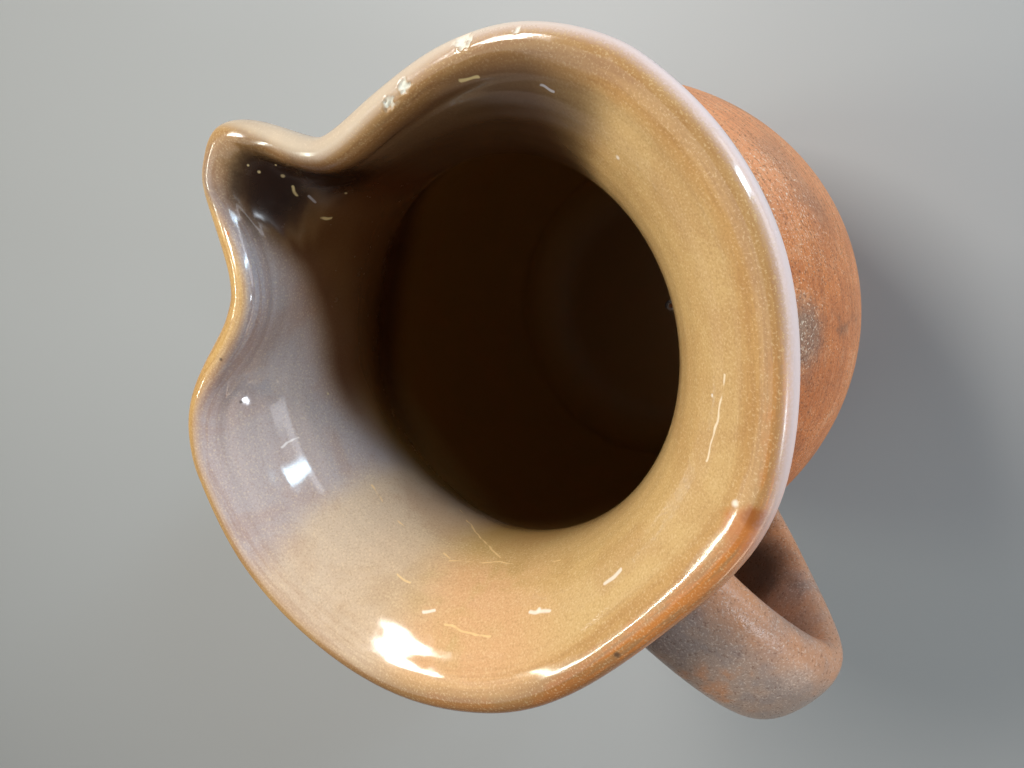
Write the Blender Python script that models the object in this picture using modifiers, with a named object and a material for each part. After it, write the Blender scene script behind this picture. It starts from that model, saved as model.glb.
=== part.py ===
"""Terracotta pouring jug: a thrown body with a pinched lip and a strap handle.

Metres, +Z up. The origin is the middle of the flat underside, on the axis the
body was thrown about. The pouring lip points to +X and the handle to -X.
"""

import math

import bmesh
import bpy
from mathutils import Vector

# Body, as thrown
HEIGHT = 0.160  # underside to the top of the lip
BASE_RADIUS = 0.042
BASE_ROUNDING = 0.0025
BELLY_RADIUS = 0.0612  # outside, where the body is widest
BELLY_HEIGHT = 0.0615  # height of the widest place
SHOULDER_RISE = 0.084  # from the widest place to where the shoulder would close
SHOULDER_BLEND = 0.007  # how softly the shoulder turns into the neck
NECK_RADIUS = 0.0433  # outside, at the narrowest place
NECK_DROP = 0.0295  # the narrowest place, below the top of the lip
MOUTH_RADIUS = 0.0608  # outside, at the lip
FLARE_TURN = math.radians(80)  # how far the flared neck turns over towards level
WALL = 0.0055
LIP_ROUNDING = 0.45  # of the wall, at each of its two edges

# Pouring lip, pinched by hand
SPOUT_REACH = 0.0606  # axis to the outside of the lip's tip
PINCH_REACH = 0.0430  # axis to the outside of the lip at the two pinches
PINCH_ANGLE = math.radians(25)  # from the tip to each pinch
FIRST_END = math.radians(65)  # where the lip is round again, on the +Y side
SECOND_END = math.radians(88)  # the same on the -Y side, which rises more slowly
HANDLE_DENT = 0.0031  # how far the lip is pushed in over the handle
HANDLE_DENT_SPAN = math.radians(34)

# Handle, a flat strap; drops are below the top of the lip, reaches from the axis
HANDLE_ANGLE = math.radians(175.5)  # from the pouring tip: not quite opposite
HANDLE_WIDTH = 0.0208
HANDLE_THICKNESS = 0.0102
HANDLE_TOP_REACH = 0.0594
HANDLE_TOP_DROP = 0.0190
HANDLE_REACH = 0.0810
HANDLE_REACH_DROP = 0.0325
HANDLE_LOW_REACH = 0.0684
HANDLE_LOW_DROP = 0.0583
HANDLE_FOOT_DROP = 0.0703
HANDLE_TOP_SWELL = 1.50  # how much larger the upper end is, smeared on to the neck
HANDLE_TAPER = 0.84  # how much of its section is left low down, where it was pulled thin
HANDLE_FOOT_SWELL = 1.15  # the lower end, smeared on to the shoulder

# Fineness
STEPS = 72
FLARE_RINGS = 8
BODY_RINGS = 14
CORNER_RINGS = 3


def soft_max(a, b, blend):
    """The larger of two lengths, with a rounded change-over."""
    h = max(0.0, 1.0 - abs(a - b) / blend)
    return max(a, b) + h * h * blend / 4


def flare_end():
    """Outer edge of the lip: how far the wall's outside stops below the top."""
    run = MOUTH_RADIUS - NECK_RADIUS
    rise = NECK_DROP - WALL
    along = math.hypot(run * math.sin(FLARE_TURN), rise * math.cos(FLARE_TURN))
    return WALL * run * math.sin(FLARE_TURN) / along


def body_radius(z):
    """Outside radius between the base and the neck."""
    up = (z - BELLY_HEIGHT) / SHOULDER_RISE
    if up < 0:
        closing = math.sqrt(1 - (BASE_RADIUS / BELLY_RADIUS) ** 2)
        up = closing * (BELLY_HEIGHT - z) / BELLY_HEIGHT
    belly = BELLY_RADIUS * math.sqrt(max(0.0, 1 - up * up))
    if z < BELLY_HEIGHT:
        return belly
    return soft_max(belly, NECK_RADIUS, SHOULDER_BLEND)


def outer_profile():
    """The outside from the lip down to the middle of the underside."""
    neck_z = HEIGHT - NECK_DROP
    rise = NECK_DROP - flare_end()
    points = []
    for i in range(FLARE_RINGS):
        turn = FLARE_TURN * (1 - i / FLARE_RINGS)
        out = (1 - math.cos(turn)) / (1 - math.cos(FLARE_TURN))
        up = math.sin(turn) / math.sin(FLARE_TURN)
        points.append((NECK_RADIUS + (MOUTH_RADIUS - NECK_RADIUS) * out, neck_z + rise * up))
    for i in range(BODY_RINGS):
        z = BASE_ROUNDING + (neck_z - BASE_ROUNDING) * (1 - i / (BODY_RINGS - 1))
        points.append((body_radius(z), z))
    edge = body_radius(BASE_ROUNDING)
    for i in range(1, CORNER_RINGS + 1):
        turn = math.pi / 2 * i / CORNER_RINGS
        inward = BASE_ROUNDING * (1 - math.cos(turn))
        points.append((edge - inward, BASE_ROUNDING * (1 - math.sin(turn))))
    points.append((0.0, 0.0))
    return points


def half_wave(share):
    """0 to 1 in a soft S as the share goes from 0 to 1."""
    return (1 - math.cos(math.pi * min(max(share, 0.0), 1.0))) / 2


def mouth_radius(angle):
    """Outside radius of the lip, by the angle from the pouring tip."""
    side = abs(angle)
    if side < PINCH_ANGLE:
        return SPOUT_REACH + (PINCH_REACH - SPOUT_REACH) * half_wave(side / PINCH_ANGLE)
    end = FIRST_END if angle > 0 else SECOND_END
    back = half_wave((side - PINCH_ANGLE) / (end - PINCH_ANGLE))
    from_handle = abs((angle - HANDLE_ANGLE + math.pi) % math.tau - math.pi)
    dent = HANDLE_DENT * half_wave(1 - from_handle / HANDLE_DENT_SPAN)
    return PINCH_REACH + (MOUTH_RADIUS - PINCH_REACH) * back - dent


def pinched(radius, z, angle):
    """Where a point of the flared neck goes when the lip is pinched."""
    neck_z = HEIGHT - NECK_DROP
    rise = NECK_DROP - flare_end()
    share = (mouth_radius(angle) - NECK_RADIUS) / (MOUTH_RADIUS - NECK_RADIUS)
    flared = min(max(share, 0.0), 1.0)
    up = (z - neck_z) / rise
    even = math.asin(min(1.0, up * math.sin(FLARE_TURN))) / FLARE_TURN
    height = (rise + flare_end() * (1 - flared)) * (flared * up + (1 - flared) * even)
    return NECK_RADIUS + (radius - NECK_RADIUS) * share, neck_z + height


def linked(obj, collection):
    collection.objects.link(obj)
    return obj


def collection_named(name):
    group = bpy.data.collections.get(name) or bpy.data.collections.new(name)
    if group.name not in bpy.context.scene.collection.children:
        bpy.context.scene.collection.children.link(group)
    return group


def evaluated_mesh(obj, name):
    graph = bpy.context.evaluated_depsgraph_get()
    mesh = bpy.data.meshes.new_from_object(obj.evaluated_get(graph))
    mesh.name = name
    return mesh


def turned_skin(collection):
    """The outside of the body as an open surface, turned and then pinched."""
    points = outer_profile()
    line = bpy.data.meshes.new("profile")
    edges = [(i, i + 1) for i in range(len(points) - 1)]
    line.from_pydata([(r, 0.0, z) for r, z in points], edges, [])
    profile = linked(bpy.data.objects.new("profile", line), collection)
    screw = profile.modifiers.new("turn", "SCREW")
    screw.steps = STEPS
    screw.render_steps = STEPS
    screw.use_merge_vertices = True
    screw.merge_threshold = 0.0001
    skin = evaluated_mesh(profile, "skin")
    bpy.data.objects.remove(profile)
    for vertex in skin.vertices:
        if vertex.co.z > HEIGHT - NECK_DROP:
            radius = math.hypot(vertex.co.x, vertex.co.y)
            angle = math.atan2(vertex.co.y, vertex.co.x)
            reach, z = pinched(radius, vertex.co.z, angle)
            vertex.co = (vertex.co.x * reach / radius, vertex.co.y * reach / radius, z)
    return skin


def wall_core(skin, collection):
    """A closed solid whose surface runs inside the wall: it trims the handle's ends."""
    mesh = skin.copy()
    normals = [vertex.normal.copy() for vertex in mesh.vertices]
    for vertex, normal in zip(mesh.vertices, normals):
        vertex.co -= normal * WALL / 2
    shape = bmesh.new()
    shape.from_mesh(mesh)
    rim = [edge for edge in shape.edges if edge.is_boundary]
    lid = bmesh.ops.holes_fill(shape, edges=rim, sides=0)["faces"]
    bmesh.ops.poke(shape, faces=lid)
    bmesh.ops.recalc_face_normals(shape, faces=shape.faces)
    shape.to_mesh(mesh)
    shape.free()
    return linked(bpy.data.objects.new("wall_core", mesh), collection)


def strap_handle(collection):
    """The handle as a bent rod of round section, widened into a strap."""
    foot_z = HEIGHT - HANDLE_FOOT_DROP
    stations = (
        (NECK_RADIUS - WALL / 2, HANDLE_TOP_DROP, HANDLE_TOP_SWELL),
        (HANDLE_TOP_REACH, HANDLE_TOP_DROP, 1.0),
        (HANDLE_REACH, HANDLE_REACH_DROP, 1.0),
        (HANDLE_LOW_REACH, HANDLE_LOW_DROP, HANDLE_TAPER),
        (body_radius(foot_z) - WALL, HANDLE_FOOT_DROP, HANDLE_FOOT_SWELL),
    )
    curve = bpy.data.curves.new("handle_line", "CURVE")
    curve.dimensions = "3D"
    curve.bevel_depth = HANDLE_THICKNESS / 2
    curve.bevel_resolution = 5
    curve.use_fill_caps = True
    curve.resolution_u = 7
    spline = curve.splines.new("BEZIER")
    spline.bezier_points.add(len(stations) - 1)
    for point, (reach, drop, swell) in zip(spline.bezier_points, stations):
        point.co = Vector((reach, 0.0, HEIGHT - drop))
        point.radius = swell
        point.handle_left_type = "AUTO"
        point.handle_right_type = "AUTO"
    rod = linked(bpy.data.objects.new("handle_line", curve), collection)
    rod.scale.y = HANDLE_WIDTH / HANDLE_THICKNESS
    rod.rotation_euler.z = HANDLE_ANGLE
    bpy.context.view_layer.update()
    mesh = evaluated_mesh(rod, "handle")
    mesh.transform(rod.matrix_world)
    bpy.data.objects.remove(rod)
    shape = bmesh.new()
    shape.from_mesh(mesh)
    bmesh.ops.remove_doubles(shape, verts=shape.verts, dist=0.00005)
    bmesh.ops.recalc_face_normals(shape, faces=shape.faces)
    shape.to_mesh(mesh)
    shape.free()
    return linked(bpy.data.objects.new("handle", mesh), collection)


def boolean(obj, other, operation):
    modifier = obj.modifiers.new(operation.lower(), "BOOLEAN")
    modifier.operation = operation
    modifier.solver = "EXACT"
    modifier.object = other


def clay_material():
    material = bpy.data.materials.new("fired_clay")
    material.use_nodes = True
    shader = material.node_tree.nodes["Principled BSDF"]
    shader.inputs["Base Color"].default_value = (0.42, 0.20, 0.10, 1.0)
    shader.inputs["Roughness"].default_value = 0.45
    shader.inputs["Metallic"].default_value = 0.0
    return material


def main():
    for obj in list(bpy.data.objects):
        bpy.data.objects.remove(obj)
    parts = collection_named("terracotta_jug")
    helpers = collection_named("helpers")

    skin = turned_skin(helpers)
    core = wall_core(skin, helpers)
    handle = strap_handle(helpers)
    for helper in (core, handle):
        helper.hide_render = True
        helper.display_type = "WIRE"
    boolean(handle, core, "DIFFERENCE")

    skin.name = "jug"
    jug = linked(bpy.data.objects.new("jug", skin), parts)
    wall = jug.modifiers.new("wall", "SOLIDIFY")
    wall.thickness = WALL
    wall.offset = -1.0
    wall.use_even_offset = True
    wall.use_quality_normals = True
    rounding = jug.modifiers.new("lip", "BEVEL")
    rounding.width = LIP_ROUNDING * WALL
    rounding.use_clamp_overlap = False
    rounding.segments = 3
    rounding.limit_method = "ANGLE"
    rounding.angle_limit = math.radians(70)
    boolean(jug, handle, "UNION")
    skin.materials.append(clay_material())
    skin.shade_smooth()
    skin.set_sharp_from_angle(angle=math.radians(40))


main()
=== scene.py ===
"""Looks of the terracotta jug: glazed inside and over the lip, bare clay outside."""

import math

import bmesh
import bpy
import numpy as np
from mathutils import Matrix, Vector, noise
from mathutils.bvhtree import BVHTree
from mathutils.kdtree import KDTree


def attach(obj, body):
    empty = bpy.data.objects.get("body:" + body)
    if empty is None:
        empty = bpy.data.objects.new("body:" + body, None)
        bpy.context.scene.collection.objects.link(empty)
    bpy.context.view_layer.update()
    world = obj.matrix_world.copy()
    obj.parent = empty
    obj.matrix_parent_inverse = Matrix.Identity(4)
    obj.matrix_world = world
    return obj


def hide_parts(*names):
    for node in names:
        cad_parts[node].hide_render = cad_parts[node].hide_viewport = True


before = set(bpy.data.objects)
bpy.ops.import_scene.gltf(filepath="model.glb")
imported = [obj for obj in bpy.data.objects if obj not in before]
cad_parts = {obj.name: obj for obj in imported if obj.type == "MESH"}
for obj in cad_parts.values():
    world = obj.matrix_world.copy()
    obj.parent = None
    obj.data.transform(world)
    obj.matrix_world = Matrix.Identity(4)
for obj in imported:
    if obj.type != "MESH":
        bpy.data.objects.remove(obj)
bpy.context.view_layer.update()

# Sizes of the solid, in metres
HEIGHT = 0.160
BASE_RADIUS = 0.042
BASE_ROUNDING = 0.0025
BELLY_RADIUS = 0.0612
BELLY_HEIGHT = 0.0615
SHOULDER_RISE = 0.084
SHOULDER_BLEND = 0.007
NECK_RADIUS = 0.0433
NECK_DROP = 0.0295
MOUTH_RADIUS = 0.0608
FLARE_TURN = math.radians(80)
WALL = 0.0055
SPOUT_REACH = 0.0606
PINCH_REACH = 0.0430
PINCH_ANGLE = math.radians(25)
FIRST_END = math.radians(65)
SECOND_END = math.radians(88)
HANDLE_DENT = 0.0031
HANDLE_DENT_SPAN = math.radians(34)
HANDLE_ANGLE = math.radians(175.5)
HANDLE_WIDTH = 0.0208
HANDLE_THICKNESS = 0.0102

# The strap's centre line by how far its points lie from the axis and below the lip
HANDLE_TOP_REACH = 0.0594
HANDLE_TOP_DROP = 0.0190
HANDLE_MIDDLE_REACH = 0.0810
HANDLE_MIDDLE_DROP = 0.0325
HANDLE_LOW_REACH = 0.0684
HANDLE_LOW_DROP = 0.0583
HANDLE_FOOT_DROP = 0.0703

# The strap's section: how square it is across and through, and how full outside and inside
ACROSS_POWER = 0.86
THROUGH_POWER = 0.94
OUTER_FULLNESS = 1.03
INNER_FULLNESS = 0.94

# Sizes that only the fine surface has
LIP = 0.0060  # thickness of the rolled lip
CREASE_DEPTH = 0.00030  # fine crease inside the lip, by depth, distance from the lip and width
CREASE_PLACE = 0.0042
CREASE_WIDTH = 0.0010
RIDGE_HEIGHT = 0.00003  # faint ridges from throwing, by height and pitch
RIDGE_PITCH = 0.0034
HANDLE_FILLET = 0.0055  # how far the handle's ends are smeared out on the body
FILLET_SHARE = 0.8  # share of a full round that the smearing reaches
FLOOR_EXTRA = 0.0010  # how much thicker than the wall the floor is
FLOOR_CORNER = 0.0120  # height of the rounded corner around the floor
FLOOR_SHRINK = 0.32  # share of the reach that this corner takes
WALL_SWELL = 0.00018  # unevenness of the wall's thickness

# Fineness of the mesh
ROUND = 300  # points around the body
BODY_COUNT = 86  # rings from the foot to the neck
FLARE_COUNT = 44  # rings from the neck to the lip
HANDLE_COUNT = 150  # rings along the strap
HANDLE_ROUND = 60  # points around the strap


def half_wave(share):
    return (1 - np.cos(np.pi * np.clip(share, 0, 1))) / 2


def smooth(low, high, x):
    t = np.clip((x - low) / (high - low), 0, 1)
    return t * t * (3 - 2 * t)


def soft_max(a, b, blend):
    h = np.maximum(0, 1 - np.abs(a - b) / blend)
    return np.maximum(a, b) + h * h * blend / 4


def flare_end():
    run = MOUTH_RADIUS - NECK_RADIUS
    rise = NECK_DROP - WALL
    along = math.hypot(run * math.sin(FLARE_TURN), rise * math.cos(FLARE_TURN))
    return WALL * run * math.sin(FLARE_TURN) / along


def body_radius(z):
    closing = math.sqrt(1 - (BASE_RADIUS / BELLY_RADIUS) ** 2)
    above = (z - BELLY_HEIGHT) / SHOULDER_RISE
    below = closing * (BELLY_HEIGHT - z) / BELLY_HEIGHT
    up = np.where(z < BELLY_HEIGHT, below, above)
    belly = BELLY_RADIUS * np.sqrt(np.maximum(0, 1 - up * up))
    return np.where(z < BELLY_HEIGHT, belly, soft_max(belly, NECK_RADIUS, SHOULDER_BLEND))


# How far the hand-shaped lip stands out from the even curve: degrees from the tip, millimetres
UNEVEN_LIP = (
    (-180, 0.8), (-163, 1.0), (-138, 0.6), (-118, 1.2), (-88, 0.3), (-80, 0.1), (-61, 1.7),
    (-52, 2.2), (-40, 1.6), (-25, 0.6), (-10, 3.6), (2, 0.0), (10, 1.1), (20, 0.2), (30, 0.1),
    (44, 2.1), (60, -0.6), (85, 0.2), (103, 0.6), (125, 1.4), (150, 0.8), (180, 0.8))


def uneven_lip(angle):
    """Smooth curve through the points of UNEVEN_LIP."""
    where, out = np.array(UNEVEN_LIP).T
    slope = np.gradient(out, where)
    deg = np.clip(np.degrees(angle), -180, 180)
    i = np.clip(np.searchsorted(where, deg, "right") - 1, 0, len(where) - 2)
    width = where[i + 1] - where[i]
    t = (deg - where[i]) / width
    value = (2 * t**3 - 3 * t**2 + 1) * out[i] + (t**3 - 2 * t**2 + t) * width * slope[i]
    value += (3 * t**2 - 2 * t**3) * out[i + 1] + (t**3 - t**2) * width * slope[i + 1]
    return value / 1000


def mouth_radius(angle):
    """Outside radius of the lip, by the angle from the pouring tip."""
    side = np.abs(angle)
    spout = SPOUT_REACH + (PINCH_REACH - SPOUT_REACH) * half_wave(side / PINCH_ANGLE)
    end = np.where(angle > 0, FIRST_END, SECOND_END)
    back = half_wave((side - PINCH_ANGLE) / (end - PINCH_ANGLE))
    from_handle = np.abs((angle - HANDLE_ANGLE + math.pi) % math.tau - math.pi)
    dent = HANDLE_DENT * half_wave(1 - from_handle / HANDLE_DENT_SPAN)
    even = np.where(side < PINCH_ANGLE, spout,
                    PINCH_REACH + (MOUTH_RADIUS - PINCH_REACH) * back - dent)
    return even + uneven_lip(angle)


def flare_line(angle, turns):
    """Outside of the flared neck at one angle, from the neck to the lip: reach and height."""
    neck_z = HEIGHT - NECK_DROP
    rise = NECK_DROP - flare_end()
    share = (mouth_radius(angle) - NECK_RADIUS) / (MOUTH_RADIUS - NECK_RADIUS)
    flared = np.clip(share, 0, 1)
    out = (1 - np.cos(turns)) / (1 - math.cos(FLARE_TURN))
    up = np.sin(turns) / math.sin(FLARE_TURN)
    height = (rise + flare_end() * (1 - flared)) * (flared * up + (1 - flared) * turns / FLARE_TURN)
    return NECK_RADIUS + (MOUTH_RADIUS - NECK_RADIUS) * out * share, neck_z + height


def outer_line(angle):
    """Outside of the body at one angle, from the foot up to where the lip's roll starts."""
    edge = float(body_radius(np.array(BASE_ROUNDING)))
    turn = np.linspace(0, np.pi / 2, 5)[:-1]
    foot = np.stack([edge - BASE_ROUNDING * (1 - np.sin(turn)),
                     BASE_ROUNDING * (1 - np.cos(turn))], -1)
    z = np.linspace(BASE_ROUNDING, HEIGHT - NECK_DROP, BODY_COUNT)
    body = np.stack([body_radius(z), z], -1)
    reach, height = flare_line(angle, np.linspace(0, FLARE_TURN, 120))
    steps = np.hypot(np.diff(reach), np.diff(height))
    length = np.concatenate([[0], np.cumsum(steps)])
    wanted = np.linspace(0, length[-1] - LIP / 2, FLARE_COUNT)[1:]
    flare = np.stack([np.interp(wanted, length, reach), np.interp(wanted, length, height)], -1)
    return np.concatenate([foot, body, flare])


def outer_skin():
    angles = np.linspace(-np.pi, np.pi, ROUND, endpoint=False)
    lines = np.stack([outer_line(a) for a in angles], 1)
    return np.stack([lines[..., 0] * np.cos(angles), lines[..., 0] * np.sin(angles),
                     lines[..., 1]], -1)


def skin_normals(points):
    """Outward normals of a grid of rings."""
    around = np.roll(points, -1, 1) - np.roll(points, 1, 1)
    along = np.gradient(points, axis=0)
    normal = np.cross(around, along)
    return normal / np.linalg.norm(normal, axis=-1, keepdims=True)


def wall_thickness(outer):
    """Wall by ring: a bead at the lip, a crease inside it and low throwing ridges below."""
    steps = np.linalg.norm(np.diff(outer, axis=0), axis=-1).mean(1)
    from_lip = np.concatenate([np.cumsum(steps[::-1])[::-1], [0]])
    bead = (LIP - WALL) * (1 - smooth(0.002, 0.009, from_lip))
    crease = CREASE_DEPTH * np.exp(-((from_lip - CREASE_PLACE) / CREASE_WIDTH) ** 2)
    ridges = RIDGE_HEIGHT * np.sin(from_lip / RIDGE_PITCH * math.tau)
    ridges *= smooth(0.005, 0.007, from_lip) * (1 - smooth(0.014, 0.024, from_lip))
    return WALL + bead - crease + ridges


def wall_rings():
    """Every ring of the jug's wall, from the middle of the underside over the outside, the lip and
    the inside to the floor; and which of them are the outside."""
    outer = outer_skin()
    normal = skin_normals(outer)
    uneven = np.array([[noise.noise(Vector(p) * 28) for p in ring] for ring in outer])
    thick = wall_thickness(outer)[:, None] + WALL_SWELL * uneven
    inner = outer - normal * thick[..., None]
    along = outer[-1] - outer[-2]
    along /= np.linalg.norm(along, axis=-1, keepdims=True)
    middle = (outer[-1] + inner[-1]) / 2
    turns = np.linspace(0, np.pi, 13)[1:-1]
    roll = [middle + LIP / 2 * (math.cos(t) * normal[-1] + math.sin(t) * along) for t in turns]
    low = outer[0] * np.array([1, 1, 0])
    underside = [low * f for f in np.linspace(0.12, 0.94, 8)]
    inside = inner[::-1]
    floor_z = WALL + FLOOR_EXTRA
    keep = np.array([ring[:, 2].min() > floor_z + FLOOR_CORNER for ring in inside])
    inside = inside[keep]
    last = inside[-1]
    corner = []
    for t in np.linspace(0, np.pi / 2, 15)[1:]:
        ring = last.copy()
        ring[:, :2] *= 1 - FLOOR_SHRINK * (1 - math.cos(t))
        ring[:, 2] = last[:, 2] - (last[:, 2] - floor_z) * math.sin(t)
        corner.append(ring)
    floor = [corner[-1] * np.array([f, f, 1]) for f in np.linspace(0.9, 0.12, 8)]
    span = slice(len(underside), len(underside) + len(outer))
    return np.concatenate([underside, outer, roll, inside, corner, floor]), span


def outside_faces(skin_rings):
    """The outside of the wall alone, with its faces turned outward."""
    count, around = skin_rings.shape[:2]
    faces = []
    for i in range(count - 1):
        for j in range(around):
            k = (j + 1) % around
            faces.append((i * around + j, i * around + k, (i + 1) * around + k, (i + 1) * around + j))
    return [Vector(p) for p in skin_rings.reshape(-1, 3)], faces


def closed_grid(rings):
    """Faces of a closed surface made of rings, with a point at each end."""
    count, around = rings.shape[:2]
    verts = [tuple(rings[0].mean(0))] + [tuple(p) for p in rings.reshape(-1, 3)]
    verts.append(tuple(rings[-1].mean(0)))
    faces = []
    for j in range(around):
        k = (j + 1) % around
        faces.append((0, 1 + k, 1 + j))
        top = 1 + (count - 1) * around
        faces.append((len(verts) - 1, top + j, top + k))
    for i in range(count - 1):
        for j in range(around):
            k = (j + 1) % around
            a, b = 1 + i * around, 1 + (i + 1) * around
            faces.append((a + j, a + k, b + k, b + j))
    return verts, faces


def mesh_object(name, verts, faces):
    mesh = bpy.data.meshes.new(name)
    mesh.from_pydata(verts, [], faces)
    shape = bmesh.new()
    shape.from_mesh(mesh)
    bmesh.ops.recalc_face_normals(shape, faces=shape.faces)
    shape.to_mesh(mesh)
    shape.free()
    obj = bpy.data.objects.new(name, mesh)
    bpy.context.scene.collection.objects.link(obj)
    return obj


def handle_line(count):
    """Centre line of the strap in its own plane: reach, height and size, evenly spaced."""
    foot_z = HEIGHT - HANDLE_FOOT_DROP
    foot = float(body_radius(np.array(foot_z))) - WALL * 0.6
    knots = np.array([
        (NECK_RADIUS - WALL * 0.4, HEIGHT - HANDLE_TOP_DROP, 1.10),
        (HANDLE_TOP_REACH, HEIGHT - HANDLE_TOP_DROP, 1.02),
        (HANDLE_MIDDLE_REACH, HEIGHT - HANDLE_MIDDLE_DROP, 1.00),
        (HANDLE_LOW_REACH, HEIGHT - HANDLE_LOW_DROP, 0.84),
        (foot, foot_z, 0.86),
    ])
    span = np.concatenate([[0], np.cumsum(np.hypot(*np.diff(knots[:, :2], axis=0).T))])
    slope = np.gradient(knots, span, axis=0)
    fine = []
    for i in range(len(knots) - 1):
        width = span[i + 1] - span[i]
        for t in np.linspace(0, 1, 40, endpoint=i == len(knots) - 2):
            a, b = 2 * t**3 - 3 * t**2 + 1, t**3 - 2 * t**2 + t
            c, d = -2 * t**3 + 3 * t**2, t**3 - t**2
            fine.append(a * knots[i] + b * width * slope[i]
                        + c * knots[i + 1] + d * width * slope[i + 1])
    fine = np.array(fine)
    length = np.concatenate([[0], np.cumsum(np.hypot(*np.diff(fine[:, :2], axis=0).T))])
    wanted = np.linspace(0, length[-1], count)
    return np.stack([np.interp(wanted, length, fine[:, k]) for k in range(3)], -1)


def handle_rings():
    """Rings around the strap: a flat oval, a little fuller outside than inside."""
    line = handle_line(HANDLE_COUNT)
    along = np.gradient(line[:, :2], axis=0)
    along /= np.linalg.norm(along, axis=1, keepdims=True)
    outward = np.stack([-along[:, 1], along[:, 0]], -1)
    if outward[HANDLE_COUNT // 2, 0] < 0:
        outward = -outward
    t = np.linspace(0, 2 * np.pi, HANDLE_ROUND, endpoint=False)
    side = np.sign(np.sin(t)) * np.abs(np.sin(t)) ** ACROSS_POWER
    depth = np.sign(np.cos(t)) * np.abs(np.cos(t)) ** THROUGH_POWER
    depth = np.where(depth > 0, depth * OUTER_FULLNESS, depth * INNER_FULLNESS)
    rings = []
    for (reach, z, size), out in zip(line, outward):
        thick = HANDLE_THICKNESS / 2 * size * depth
        wide = HANDLE_WIDTH / 2 * size * side
        x = reach + out[0] * thick
        rings.append(np.stack([x, -wide, z + out[1] * thick], -1))
    rings = np.array(rings)
    c, s = math.cos(HANDLE_ANGLE), math.sin(HANDLE_ANGLE)
    turned = rings.copy()
    turned[..., 0] = rings[..., 0] * c - rings[..., 1] * s
    turned[..., 1] = rings[..., 0] * s + rings[..., 1] * c
    return turned


def rooted(rings, skin):
    """Spreads the handle's ends over the outside of the wall, and sinks their tips into it."""
    for i, ring in enumerate(rings):
        centre = Vector(ring.mean(0))
        for p in ring:
            near, normal, _, _ = skin.find_nearest(Vector(p))
            gap = (Vector(p) - near).dot(normal)
            if gap < HANDLE_FILLET:
                depth = min(HANDLE_FILLET - gap, HANDLE_FILLET)
                spread = HANDLE_FILLET - math.sqrt(HANDLE_FILLET**2 - depth**2)
                away = Vector(p) - centre
                away -= normal * away.dot(normal)
                p += np.array(away.normalized() * spread * FILLET_SHARE)
            near, normal, _, _ = skin.find_nearest(Vector(p))
            if i in (0, len(rings) - 1) or (Vector(p) - near).dot(normal) < -WALL / 2:
                p[:] = near - normal * WALL / 2
    return rings


def joined(body, handle):
    """The body with the handle made one with it, as a plain mesh."""
    union = body.modifiers.new("handle", "BOOLEAN")
    union.operation = "UNION"
    union.solver = "EXACT"
    union.object = handle
    graph = bpy.context.evaluated_depsgraph_get()
    mesh = bpy.data.meshes.new_from_object(body.evaluated_get(graph))
    body.modifiers.clear()
    body.data = mesh
    bpy.data.objects.remove(handle)
    return body


ON_WALL = 1e-5  # how close to a ring's point a point of the wall lies, in metres
HANDLE_DEPTH = -60  # what the handle counts as, in millimetres
GRIP_ROUNDS = 5  # how many times the grip is smoothed over the mesh


def mark_depth(obj, rings, skin_span):
    """Stores, in millimetres, how far each point lies from the lip's crest along the wall: above 0
    inside and below 0 outside. The handle gets grip 1, which fades out around its roots."""
    crest = skin_span.stop + 5  # the middle one of the lip's eleven rings
    steps = np.linalg.norm(np.diff(rings, axis=0), axis=-1)
    run = np.concatenate([np.zeros((1, rings.shape[1])), np.cumsum(steps, 0)]) * 1000
    run = (run - run[crest]).ravel()
    points = rings.reshape(-1, 3)
    tree = KDTree(len(points))
    for i, p in enumerate(points):
        tree.insert(p, i)
    tree.balance()
    found = [tree.find(v.co) for v in obj.data.vertices]
    depth = np.array([run[i] if d < ON_WALL else HANDLE_DEPTH for _, i, d in found])
    grip = np.array([0.0 if d < ON_WALL else 1.0 for _, _, d in found])
    first, second = np.array([tuple(e.vertices) for e in obj.data.edges]).T
    neighbours = np.bincount(np.concatenate([first, second]), minlength=len(grip))
    for _ in range(GRIP_ROUNDS):
        total = (np.bincount(first, grip[second], len(grip))
                 + np.bincount(second, grip[first], len(grip)))
        grip = (grip + total / neighbours) / 2
    for name, values in (("depth", depth), ("grip", grip)):
        layer = obj.data.attributes.new(name, "FLOAT", "POINT")
        layer.data.foreach_set("value", values)


# Chips knocked out of the lip: middle, radius and depth
CHIPS = (
    ((0.0258, -0.0455, 0.1592), 0.0021, 0.00042),
    ((0.0302, -0.0342, 0.1594), 0.0014, 0.00036),
    ((0.0310, -0.0303, 0.1593), 0.0013, 0.00036),
    ((0.0188, -0.0515, 0.1590), 0.0009, 0.00025),
    ((-0.0380, 0.0420, 0.1562), 0.0012, 0.00030))
CHIP_FINE = 1.7  # how far the finer mesh around a chip reaches, by the chip's radius
CHIP_REACH = 1.6  # how far points may move, by the chip's radius
CHIP_EDGE = 0.22  # how steep its edge is, by the chip's radius


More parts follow.
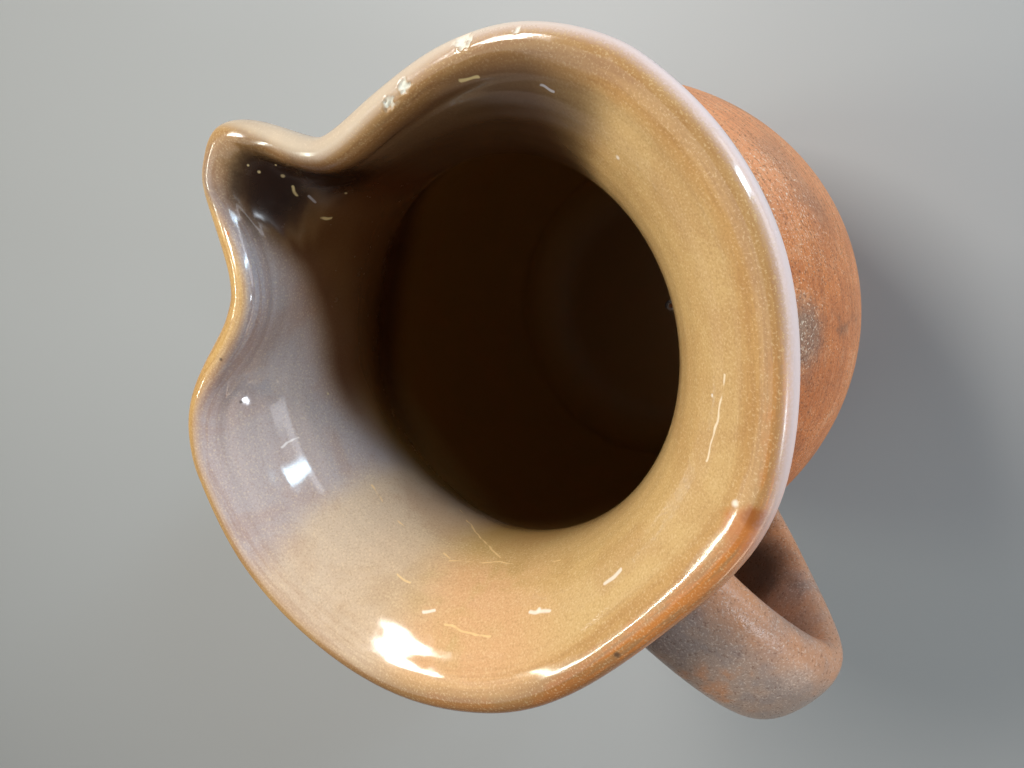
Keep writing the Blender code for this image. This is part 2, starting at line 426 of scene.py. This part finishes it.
def chip(obj):
    """Breaks small flakes out of the lip, over a finer local mesh."""
    shape = bmesh.new()
    shape.from_mesh(obj.data)
    mark = shape.verts.layers.float.new("chipped")
    for centre, radius, depth in CHIPS:
        middle = Vector(centre)
        for _ in range(2):
            shape.edges.index_update()
            close = [f for f in shape.faces
                     if (f.calc_center_median() - middle).length < radius * CHIP_FINE]
            edges = sorted({e for f in close for e in f.edges}, key=lambda e: e.index)
            bmesh.ops.subdivide_edges(shape, edges=edges, cuts=1, use_grid_fill=True)
        shape.normal_update()
        moves = []
        for v in shape.verts:
            away = (v.co - middle).length
            if away < radius * CHIP_REACH:
                ragged = radius * (0.80 + 0.55 * noise.noise(v.co * 1500))
                share = min(1.0, max(0.0, (ragged - away) / (radius * CHIP_EDGE)))
                rough = 1 + 0.5 * noise.noise(v.co * 3000)
                moves.append((v, v.normal * depth * share * rough, share))
        for v, move, share in moves:
            v.co -= move
            v[mark] = max(v[mark], share)
    shape.to_mesh(obj.data)
    shape.free()


rings, skin_span = wall_rings()
skin = BVHTree.FromPolygons(*outside_faces(rings[skin_span]))
jug = mesh_object("jug_body", *closed_grid(rings))
handle = mesh_object("jug_handle", *closed_grid(rooted(handle_rings(), skin)))
jug = joined(jug, handle)
mark_depth(jug, rings, skin_span)
chip(jug)
jug.data.shade_smooth()
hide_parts("jug")
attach(jug, "root")


def srgb(red, green, blue):
    """Colour from its usual 0 to 255 values."""
    parts = [c / 255 for c in (red, green, blue)]
    return tuple(p / 12.92 if p < 0.04045 else ((p + 0.055) / 1.055) ** 2.4 for p in parts) + (1,)


class Painter:
    """Makes the nodes of one material."""

    def __init__(self, name):
        self.material = bpy.data.materials.new(name)
        self.material.use_nodes = True
        self.tree = self.material.node_tree
        self.shader = self.tree.nodes["Principled BSDF"]
        self.where = self.node("ShaderNodeTexCoord").outputs["Object"]
        self.ragged = self.noise(320, 3, 0.6)
        shift = self.node("ShaderNodeTexNoise",
                          (("Vector", self.where), ("Scale", 420.0), ("Detail", 0.0)))
        shift = self.vector("SUBTRACT", shift.outputs["Color"], (0.5, 0.5, 0.5))
        self.bent = self.vector("MULTIPLY_ADD", shift, (0.0009,) * 3, self.where)

    def node(self, kind, feeds=(), **settings):
        made = self.tree.nodes.new(kind)
        for key, value in settings.items():
            setattr(made, key, value)
        for socket, value in feeds:
            self.feed(made.inputs[socket], value)
        return made

    def feed(self, socket, value):
        if isinstance(value, bpy.types.NodeSocket):
            self.tree.links.new(value, socket)
        else:
            socket.default_value = value

    def layer(self, name):
        return self.node("ShaderNodeAttribute", attribute_name=name).outputs["Fac"]

    def noise(self, scale, detail=3.0, rough=0.5, bend=0.0, where=None):
        feeds = (("Vector", where or self.where), ("Scale", scale), ("Detail", detail),
                 ("Roughness", rough), ("Distortion", bend))
        return self.node("ShaderNodeTexNoise", feeds).outputs[0]

    def math(self, operation, *values):
        made = self.node("ShaderNodeMath", enumerate(values), operation=operation)
        return made.outputs[0]

    def vector(self, operation, *values):
        made = self.node("ShaderNodeVectorMath", enumerate(values), operation=operation)
        return made.outputs["Value" if operation in ("DISTANCE", "DOT_PRODUCT") else "Vector"]

    def times(self, first, *others):
        """Product of several shares."""
        for other in others:
            first = self.math("MULTIPLY", first, other)
        return first

    def sway(self, value, noise, amount):
        """The value, moved up and down by a noise."""
        return self.math("MULTIPLY_ADD", self.math("SUBTRACT", noise, 0.5), amount, value)

    def step(self, value, low, high, top=1.0):
        """0 at low and beyond, top at high and beyond, with a soft change between."""
        feeds = (("Value", value), ("From Min", low), ("From Max", high), ("To Max", top))
        made = self.node("ShaderNodeMapRange", feeds, interpolation_type="SMOOTHSTEP")
        return made.outputs["Result"]

    def ramp(self, value, stops):
        """Colour by value, through stops of a value and a colour."""
        low, high = stops[0][0], stops[-1][0]
        feeds = (("Value", value), ("From Min", low), ("From Max", high))
        share = self.node("ShaderNodeMapRange", feeds).outputs["Result"]
        made = self.node("ShaderNodeValToRGB", ((0, share),))
        bar = made.color_ramp
        bar.interpolation = "EASE"
        while len(bar.elements) < len(stops):
            bar.elements.new(0.5)
        for element, (at, colour) in zip(bar.elements, stops):
            element.position = (at - low) / (high - low)
            element.color = srgb(*colour)
        return made.outputs["Color"]

    def mix(self, share, first, second):
        made = self.node("ShaderNodeMix", data_type="RGBA")
        for socket, value in ((0, share), (6, first), (7, second)):
            self.feed(made.inputs[socket], value)
        return made.outputs[2]

    def paint(self, share, under, colour):
        """One plain colour over what is there, as strong as the share."""
        return self.mix(share, under, srgb(*colour))

    def patch(self, centre, radius, edge):
        """1 around a point of the object, with an uneven edge."""
        far = self.math("MULTIPLY_ADD", self.ragged, edge, self.vector("DISTANCE", self.where, centre))
        return self.step(far, radius + edge * 0.5, radius * 0.3 + edge * 0.5)

    def patches(self, places):
        """The stronger of two patches."""
        return self.math("MAXIMUM", *[self.patch(*place) for place in places])

    def ragged_spots(self, spots):
        """1 on small ragged spots, each given by its middle and radius."""
        nearest = 10.0
        for centre, radius in spots:
            far = self.math("DIVIDE", self.vector("DISTANCE", self.where, centre), radius)
            nearest = self.math("MINIMUM", nearest, far)
        return self.step(self.math("MULTIPLY_ADD", self.ragged, 1.2, nearest), 1.6, 0.9)

    def hairlines(self, lines, width):
        """1 on fine uneven lines, each through points of the object."""
        nearest = 1.0
        for start, end in [pair for line in lines for pair in zip(line, line[1:])]:
            line = Vector(end) - Vector(start)
            offset = self.vector("SUBTRACT", self.bent, start)
            share = self.vector("DOT_PRODUCT", offset, line / line.length_squared)
            share = self.node("ShaderNodeClamp", ((0, share),)).outputs[0]
            foot = self.node("ShaderNodeVectorMath", ((0, line), ("Scale", share)),
                             operation="SCALE").outputs["Vector"]
            nearest = self.math("MINIMUM", nearest, self.vector("DISTANCE", offset, foot))
        return self.step(nearest, width, width * 0.35)

    def bump(self, height, distance, strength, before=None):
        feeds = [("Height", height), ("Distance", distance), ("Strength", strength)]
        if before:
            feeds.append(("Normal", before))
        return self.node("ShaderNodeBump", feeds).outputs["Normal"]


# Glaze by the distance below the lip in millimetres, deep brown far inside as painted shade, and its
# milky part, partly a painted sheen of reflected light, by the angle from the tip
HONEY = (
    (-16, (150, 88, 48)), (-5, (150, 100, 62)), (0.5, (168, 132, 94)), (3.0, (174, 134, 86)),
    (6.5, (196, 152, 96)), (10, (208, 171, 116)), (24, (206, 168, 110)), (60, (144, 110, 60)))
MILK_AND_SHEEN = (
    (-5, (150, 140, 132)), (18, (164, 164, 174)), (62, (172, 162, 166)), (78, (174, 164, 168)),
    (92, (202, 178, 156)), (135, (200, 172, 138)))

# Bare clay, and the thin wash on the handle, by the strength of a noise
CLAY = (
    (0.25, (134, 84, 56)), (0.45, (190, 110, 58)), (0.60, (206, 124, 66)), (0.75, (214, 150, 104)))
WASH = (
    (0.30, (116, 96, 86)), (0.46, (150, 132, 122)), (0.56, (162, 138, 122)), (0.70, (184, 132, 96)))

# Marks with a place: middle, radius and unevenness of the edge
# Painted shadow in the hollow under the tip's fold, in two parts
POCKET_SHADOW = (((0.0475, -0.0020, 0.1530), 0.013, 0.004), ((0.0400, -0.0110, 0.1500), 0.012, 0.004))
SMUDGE = ((-0.0395, -0.0360, 0.1005), 0.011, 0.006)
CRUST = (((-0.0150, -0.0545, 0.0940), 0.020, 0.010), ((-0.0400, -0.0365, 0.1000), 0.006, 0.003))
# Painted shade in the loop of the handle
LOOP_SHADE = (((-0.0655, 0.0060, 0.1055), 0.0125, 0.003), ((-0.0560, 0.0030, 0.1000), 0.0120, 0.003))

# Fine lines in the glaze, hairline cracks and painted glints of light: strength, width, colour, and
# points on the surface along each
CRACKS_AND_GLINTS = (
    (0.60, 0.00030, (246, 206, 144), (
        ((0.0013, 0.0386, 0.1376), (-0.0090, 0.0381, 0.1397), (-0.0218, 0.0334, 0.1417)),
        ((-0.0136, 0.0362, 0.1237), (-0.0215, 0.0313, 0.1324), (-0.0288, 0.0265, 0.1394)),
        ((-0.0221, 0.0334, 0.1422), (-0.0294, 0.0263, 0.1406), (-0.0374, 0.0148, 0.1432)),
        ((-0.0311, 0.0359, 0.1531), (-0.0350, 0.0327, 0.1536), (-0.0384, 0.0294, 0.1542)),
        ((-0.0174, 0.0399, 0.1486), (-0.0204, 0.0389, 0.1490)))),
    # Painted glints of light on the glaze
    (0.75, 0.00050, (250, 234, 214), (
        ((-0.0457, 0.0055, 0.1533), (-0.0460, 0.0017, 0.1533)),
        ((-0.0403, 0.0211, 0.1516), (-0.0426, 0.0176, 0.1525)),
        ((-0.0264, 0.0383, 0.1521), (-0.0276, 0.0368, 0.1516)))),
    # A painted glint of the window's light
    (0.70, 0.00036, (236, 226, 220), (
        ((0.0176, 0.0397, 0.1494), (0.0173, 0.0377, 0.1462)),)),
    (0.75, 0.00042, (230, 210, 152), (
        ((0.0405, 0.0004, 0.1440), (0.0397, -0.0005, 0.1419)),
        ((0.0448, -0.0036, 0.1511), (0.0438, -0.0024, 0.1496)),
        ((0.0235, -0.0403, 0.1572), (0.0214, -0.0425, 0.1571)))),
    # Painted glints of bluish light
    (0.50, 0.00032, (206, 206, 214), (
        ((0.0426, -0.0033, 0.1480), (0.0417, -0.0025, 0.1462)),
        ((0.0124, -0.0476, 0.1558), (0.0105, -0.0482, 0.1558)))),
    # A painted highlight line on the flare
    (0.75, 0.00030, (250, 232, 200), (
        ((-0.0432, -0.0223, 0.1543), (-0.0402, -0.0284, 0.1550), (-0.0368, -0.0339, 0.1556)),)))

# Small scars, specks and painted glints of light: colour, strength, and the middle and radius of each
SCARS_AND_GLINTS = (
    # Painted glints of light, with some pale specks
    ((246, 232, 212), 0.85, (
        ((-0.0411, 0.0196, 0.1518), 0.0007), ((-0.0029, -0.0465, 0.1524), 0.0006),
        ((-0.0504, -0.0221, 0.1588), 0.0008), ((-0.0373, -0.0299, 0.1537), 0.0004))),
    ((190, 106, 44), 0.65, (((-0.0545, -0.0205, 0.1590), 0.0050),)),
    ((132, 72, 30), 0.65, (((-0.0540, -0.0228, 0.1592), 0.0026),)),
    ((222, 200, 150), 0.60, (
        ((0.0492, -0.0031, 0.1553), 0.0004), ((0.0471, -0.0063, 0.1549), 0.0003),
        ((0.0461, -0.0048, 0.1529), 0.0005), ((0.0392, -0.0069, 0.1431), 0.0004),
        ((0.0510, -0.0031, 0.1565), 0.0003), ((0.0216, 0.0316, 0.1370), 0.0004))),
    ((206, 116, 62), 0.80, (((0.0460, 0.0087, 0.1589), 0.0006),)),
    ((74, 58, 48), 0.75, (((-0.0546, 0.0093, 0.1596), 0.0008), ((0.0280, 0.0362, 0.1540), 0.0005),
                          ((0.0335, 0.0287, 0.1591), 0.0005))))


class Clay(Painter):
    """The jug's one material: glaze, bare clay and the wash on the handle."""

    def __init__(self, name):
        super().__init__(name)
        self.depth = self.layer("depth")
        self.grip = self.layer("grip")
        self.chipped = self.layer("chipped")
        self.broad = self.noise(24, 2, 0.55)
        self.cloud = self.noise(75, 3, 0.6, 0.4)
        self.mottle = self.ragged
        self.grain = self.noise(1500, 2, 0.6)
        self.fleck = self.noise(2600, 2, 0.6)
        self.apart = self.node("ShaderNodeSeparateXYZ", ((0, self.where),)).outputs
        self.streaks = self.noise(1.0, 3, 0.65, 0.0, self.turned())
        self.edge = self.sway(self.sway(self.depth, self.cloud, 9.0), self.mottle, 3.5)
        self.glaze = self.step(self.edge, -15.0, -12.0)
        self.on_wall = self.step(self.depth, 42, 34)
        # Degrees from the pouring tip: exact, and wandering
        self.bearing = self.math("MULTIPLY", self.math("ARCTAN2", self.apart[1], self.apart[0]),
                                 180 / math.pi)
        self.around = self.sway(self.bearing, self.broad, 24.0)
        # Mask of the painted shadow under the tip
        self.pocket_shadow = self.patches(POCKET_SHADOW)

    def turned(self):
        """Place for a noise that runs around the jug in lines, as throwing leaves them."""
        outer = self.math("LESS_THAN", self.depth, -5.0)
        outer_height = self.times(outer, self.math("MULTIPLY", self.apart[2], 1000.0))
        inner_height = self.times(self.math("SUBTRACT", 1.0, outer), self.depth)
        height = self.math("ADD", outer_height, inner_height)
        return self.node("ShaderNodeCombineXYZ", (
            (0, self.math("MULTIPLY", self.apart[0], 55.0)),
            (1, self.math("MULTIPLY", self.apart[1], 55.0)),
            (2, self.math("MULTIPLY", height, 0.9)))).outputs[0]

    def honey(self):
        """Glaze by the lip and on the flare: mottled grey, golden, then deep brown inside as painted
        shade.
        """
        honey = self.ramp(self.deep, HONEY)
        # Where the glaze broke over the lip near the handle, the clay burns through
        from_grip = self.math("SUBTRACT", self.math("ABSOLUTE", self.around), 180.0)
        burnt = self.times(
            self.step(self.math("ABSOLUTE", from_grip), 58, 24), self.step(self.edge, 6.0, 2.5, 0.60),
            self.math("ADD", 0.35, self.step(self.streaks, 0.38, 0.54)))
        honey = self.paint(burnt, honey, (206, 124, 56))
        # Browner edge at the back, paler edge on the tip's left side, peach patch in the flare
        brown = self.times(self.step(self.around, 104, 122), self.step(self.around, 176, 158),
                           self.step(self.depth, 7, 3, 0.5))
        honey = self.paint(brown, honey, (122, 84, 50))
        pale = self.times(self.step(self.around, -8, 4), self.step(self.around, 112, 92),
                          self.step(self.depth, 4, 1, 0.75))
        honey = self.paint(pale, honey, (218, 174, 106))
        peach = self.times(self.step(self.around, 96, 118), self.step(self.around, 168, 136),
                           self.step(self.depth, 4, 9), self.step(self.depth, 36, 26),
                           self.step(self.cloud, 0.34, 0.60))
        return self.paint(peach, honey, (214, 164, 116))

    def milk_and_sheen(self, under):
        """Milky away from the handle, partly glaze colour and partly a painted sheen of reflected
        light: lavender grey by the lip, then pinkish cream.
        """
        milky_sheen = self.ramp(self.around, MILK_AND_SHEEN)
        pinker = self.times(self.step(self.reach, -6, 12), self.step(self.around, 72, 30, 0.65))
        milky_sheen = self.paint(pinker, milky_sheen, (146, 112, 98))
        clear = self.step(self.around, 34, 58, 2.0)
        from_lip = self.math("SUBTRACT", self.depth, clear)
        zone = self.times(self.step(self.around, -6, 10), self.step(self.around, 132, 116),
                          self.step(from_lip, 0.5, 3.5), self.step(self.reach, 24, 5, 0.85))
        # Milky glaze with a painted sheen of reflected light laid over this zone
        return self.mix(zone, under, milky_sheen)

    def mottled(self, under):
        """Patches, lines from throwing, and pale and dark flecks."""
        glass = self.paint(self.step(self.cloud, 0.56, 0.36, 0.18), under, (160, 104, 56))
        lined = self.times(self.step(self.streaks, 0.54, 0.40), self.step(self.depth, 14, 2, 0.28))
        glass = self.paint(lined, glass, (140, 90, 52))
        dots = self.times(self.step(self.fleck, 0.54, 0.68, 0.27), self.on_wall)
        glass = self.paint(dots, glass, (240, 214, 168))
        return self.paint(self.step(self.fleck, 0.48, 0.32, 0.22), glass, (136, 96, 52))

    def painted_shade(self, under):
        """Painted shade: deep brown under the lip's fold and on the side it faces, a patch of it at
        the top, and a painted shadow in the hollow under the tip.
        """
        fold_shade = self.times(self.step(self.around, -90, -72), self.step(self.around, -2, -24),
                            self.step(self.depth, 1.5, 8), self.on_wall)
        facing_shade = self.times(self.step(self.around, -34, -16), self.step(self.around, 95, 50),
                            self.step(self.reach, 4, 15), self.step(self.depth, 90, 70))
        # thick is the mask of this painted shade, used again for roughness
        self.thick = self.math("MAXIMUM", fold_shade, self.math("MULTIPLY", facing_shade, 2.0))
        glass = self.paint(self.times(fold_shade, 0.84), under, (80, 56, 44))
        glass = self.paint(self.times(fold_shade, self.step(self.depth, 9, 20, 0.7)), glass, (60, 32, 15))
        glass = self.paint(self.times(facing_shade, 0.92), glass, (72, 35, 14))
        # Painted shade in a patch at the top
        dim_shade = self.times(self.step(self.around, -92, -78), self.step(self.around, -50, -66),
                         self.step(self.depth, 7, 12, 0.5), self.on_wall)
        glass = self.paint(dim_shade, glass, (44, 26, 14))
        # Painted shadow in the hollow under the tip
        return self.paint(self.times(self.pocket_shadow, 0.94), glass, (34, 17, 8))

    def marked(self, under):
        """Hairlines and small marks in the glaze, and painted glints of light."""
        glass = under
        for share, width, colour, lines in CRACKS_AND_GLINTS:
            glass = self.paint(self.times(self.hairlines(lines, width), share), glass, colour)
        for colour, share, spots in SCARS_AND_GLINTS:
            glass = self.paint(self.times(self.ragged_spots(spots), share), glass, colour)
        return glass

    def rubbed_and_lit(self, under):
        """Whitish over the top of the lip, partly abraded glaze and partly a painted sheen of
        reflected light, and cream beside the tip.
        """
        from_crest = self.sway(self.depth, self.fleck, 1.6)
        self.worn_and_sheen = self.times(self.step(self.around, -172, -140), self.step(self.around, -30, -98),
                               self.step(from_crest, 3.0, 0.0), self.step(self.depth, -9, -5))
        # Painted sheen of reflected light over the abraded top of the lip
        glass = self.paint(self.times(self.worn_and_sheen, 0.82), under, (238, 216, 212))
        cream = self.times(self.step(self.bearing, -92, -60), self.step(self.bearing, 16, -18),
                           self.step(from_crest, 2.4, -0.4), self.step(self.depth, -9, -6, 0.55))
        return self.paint(cream, glass, (232, 216, 192))

    def glass(self):
        self.deep = self.sway(self.depth, self.cloud, 2.0)
        self.reach = self.math("MULTIPLY_ADD", self.around, -0.42, self.deep)
        return self.rubbed_and_lit(self.marked(self.painted_shade(self.mottled(self.milk_and_sheen(self.honey())))))

    def bare(self):
        """Orange clay, with pale grit and grey smoke marks, and painted sheen and light on the belly.
        """
        clay = self.ramp(self.cloud, CLAY)
        # Painted sheen: paler over the widest part of the belly
        paler = self.times(self.step(self.depth, -70, -118), self.step(self.depth, -190, -120, 0.40))
        clay = self.paint(paler, clay, (230, 166, 122))
        # Painted light on the lit side of the belly
        lit_side = self.times(self.step(self.bearing, -122, -100), self.step(self.bearing, -40, -70, 0.7))
        clay = self.paint(lit_side, clay, (242, 164, 112))
        clay = self.paint(self.step(self.streaks, 0.54, 0.38, 0.28), clay, (136, 78, 44))
        clay = self.paint(self.step(self.broad, 0.56, 0.72, 0.4), clay, (126, 96, 80))
        clay = self.paint(self.times(self.patch(*SMUDGE), 0.7), clay, (112, 98, 88))
        clay = self.paint(self.step(self.mottle, 0.52, 0.72, 0.30), clay, (222, 168, 126))
        grit = self.times(self.step(self.fleck, 0.62, 0.68), self.step(self.cloud, 0.48, 0.58))
        crumbs = self.times(self.patches(CRUST), self.step(self.grain, 0.60, 0.68))
        white = self.math("MAXIMUM", grit, crumbs)
        clay = self.paint(self.times(white, 0.85), clay, (236, 220, 198))
        clay = self.paint(self.step(self.fleck, 0.52, 0.66, 0.30), clay, (226, 180, 140))
        return self.paint(self.step(self.grain, 0.45, 0.30, 0.6), clay, (84, 46, 30))

    def washed(self):
        """The handle: smoked greyish brown under a thin wash, orange on its near side and low end,
        partly clay showing through and partly painted warm light.
        """
        blend = self.math("MULTIPLY_ADD", self.cloud, 0.7, self.math("MULTIPLY", self.mottle, 0.3))
        wash = self.ramp(blend, WASH)
        near_side = self.math("MAXIMUM", self.step(self.apart[1], 0.005, -0.006),
                              self.step(self.apart[2], 0.128, 0.112))
        # Orange on the near side and low end: partly clay showing through the wash, partly painted
        # warm light
        rubbed_and_lit = self.times(near_side, self.step(self.cloud, 0.22, 0.62, 0.85))
        wash = self.paint(rubbed_and_lit, wash, (204, 138, 92))
        wash = self.paint(self.step(self.fleck, 0.56, 0.66, 0.36), wash, (236, 218, 200))
        return self.paint(self.step(self.grain, 0.44, 0.30, 0.35), wash, (98, 64, 44))

    def colour(self):
        outside = self.mix(self.grip, self.bare(), self.washed())
        # Painted shade inside the loop of the handle, and less of it on the wall beside it
        loop_shade = self.times(self.patches(LOOP_SHADE), self.math("MULTIPLY_ADD", self.grip, 0.48, 0.40))
        outside = self.paint(loop_shade, outside, (36, 24, 18))
        coloured = self.mix(self.glaze, outside, self.glass())
        raw = self.mix(self.step(self.mottle, 0.52, 0.62), srgb(228, 224, 206), srgb(176, 146, 112))
        return self.mix(self.chipped, coloured, raw)

    def roughness(self):
        """Matt on bare clay, in chips and on the abraded lip, glossy on glaze. Uses colour's masks."""
        clay = self.math("MULTIPLY_ADD", self.grain, 0.25, 0.72)
        wash = self.math("MULTIPLY_ADD", self.grain, 0.20, 0.20)
        glass = self.math("ADD", 0.10, self.step(self.mottle, 0.50, 0.85, 0.14))
        glass = self.math("MULTIPLY_ADD", self.pocket_shadow, 0.08, glass)
        glass = self.math("ADD", glass, self.step(self.depth, 50, 90, 0.35))
        # A little rougher in the painted shade
        glass = self.math("MULTIPLY_ADD", self.thick, 0.05, glass)
        # One stretch of the worn lip stays clear
        clear = self.times(self.step(self.bearing, -121, -117), self.step(self.bearing, -101, -105))
        matt = self.times(self.worn_and_sheen, self.math("SUBTRACT", 1.0, clear))
        glass = self.math("MULTIPLY_ADD", matt, 0.36, glass)
        whole = self.mix(self.glaze, self.mix(self.grip, clay, wash), glass)
        return self.mix(self.chipped, whole, clay)

    def relief(self):
        """Slow waves everywhere, and grain on the bare clay."""
        wavy = self.bump(self.noise(110, 1, 0.5), 0.0006, 0.22)
        share = self.times(self.step(self.depth, -12.0, -15.0),
                           self.math("MULTIPLY_ADD", self.grip, -0.75, 1.0))
        return self.bump(self.times(share, self.grain), 0.00035, 1.0, wavy)


def glazed_clay():
    clay = Clay("glazed_clay")
    clay.feed(clay.shader.inputs["Base Color"], clay.colour())
    clay.feed(clay.shader.inputs["Roughness"], clay.roughness())
    clay.feed(clay.shader.inputs["Normal"], clay.relief())
    clay.shader.inputs["IOR"].default_value = 1.52
    return clay.material


jug.data.materials.clear()
jug.data.materials.append(glazed_clay())

floor_mesh = bpy.data.meshes.new("floor")
floor_mesh.from_pydata([(-3, -3, 0), (3, -3, 0), (3, 3, 0), (-3, 3, 0)], [], [(0, 1, 2, 3)])
floor = bpy.data.objects.new("floor", floor_mesh)
bpy.context.scene.collection.objects.link(floor)
pale = bpy.data.materials.new("pale_floor")
pale.use_nodes = True
pale.node_tree.nodes["Principled BSDF"].inputs["Base Color"].default_value = (0.36, 0.36, 0.35, 1)
floor_mesh.materials.append(pale)

# Camera where the photograph was taken from, rolled as it was held
CAMERA_LENS = 29.53
CAMERA_PLACE = (-0.0438, -0.0653, 0.2760)
right = Vector((-0.68893, -0.57298, -0.44391))
up = Vector((0.68877, -0.70828, -0.15471))
back = Vector((-0.22576, -0.41234, 0.88262))
camera_data = bpy.data.cameras.new("camera")
camera_data.sensor_width = 36
camera_data.lens = CAMERA_LENS
camera_data.clip_start = 0.01
camera = bpy.data.objects.new("camera", camera_data)
bpy.context.scene.collection.objects.link(camera)
camera.matrix_world = (Matrix.Translation(CAMERA_PLACE)
                       @ Matrix((right, up, back)).transposed().to_4x4())
bpy.context.scene.camera = camera

LIGHT_AIM = Vector((0, 0, 0.15))
LIGHT_DISTANCE = 0.9


def soft_light(name, azimuth, elevation, wide, high, watts, colour, turn=0):
    """A rectangular light that faces the mouth from a direction given in degrees."""
    data = bpy.data.lights.new(name, "AREA")
    data.shape = "RECTANGLE"
    data.size, data.size_y = wide, high
    data.energy = watts
    data.color = colour
    lamp = bpy.data.objects.new(name, data)
    bpy.context.scene.collection.objects.link(lamp)
    flat = math.cos(math.radians(elevation))
    way = Vector((flat * math.cos(math.radians(azimuth)), flat * math.sin(math.radians(azimuth)),
                  math.sin(math.radians(elevation))))
    aim = way.to_track_quat("Z", "Y").to_matrix().to_4x4()
    lamp.matrix_world = (Matrix.Translation(LIGHT_AIM + way * LIGHT_DISTANCE) @ aim
                         @ Matrix.Rotation(math.radians(turn), 4, "Z"))


soft_light("key", -9.5, 52.2, 0.44, 0.13, 7.8, (1.0, 0.97, 0.93), 36)
soft_light("window", -100, 22, 0.085, 0.42, 3.8, (0.56, 0.80, 1.0), -2)
soft_light("rim", 38, 42, 0.20, 0.020, 1.1, (0.90, 1.0, 0.88))
soft_light("wall", -112, 8, 0.80, 0.35, 2.8, (0.92, 0.94, 1.0))
soft_light("bounce", 178, 2, 0.60, 0.14, 1.3, (1.0, 0.76, 0.56))
soft_light("back", -155, 26, 0.12, 0.06, 1.3, (0.80, 0.90, 1.0))
soft_light("fill", 62, 56, 0.80, 0.60, 1.9, (1.0, 0.98, 0.95))

world = bpy.data.worlds.new("studio")
world.use_nodes = True
world.node_tree.nodes["Background"].inputs["Color"].default_value = (0.78, 0.83, 0.9, 1)
world.node_tree.nodes["Background"].inputs["Strength"].default_value = 0.10
bpy.context.scene.world = world
bpy.context.scene.view_settings.view_transform = "Standard"
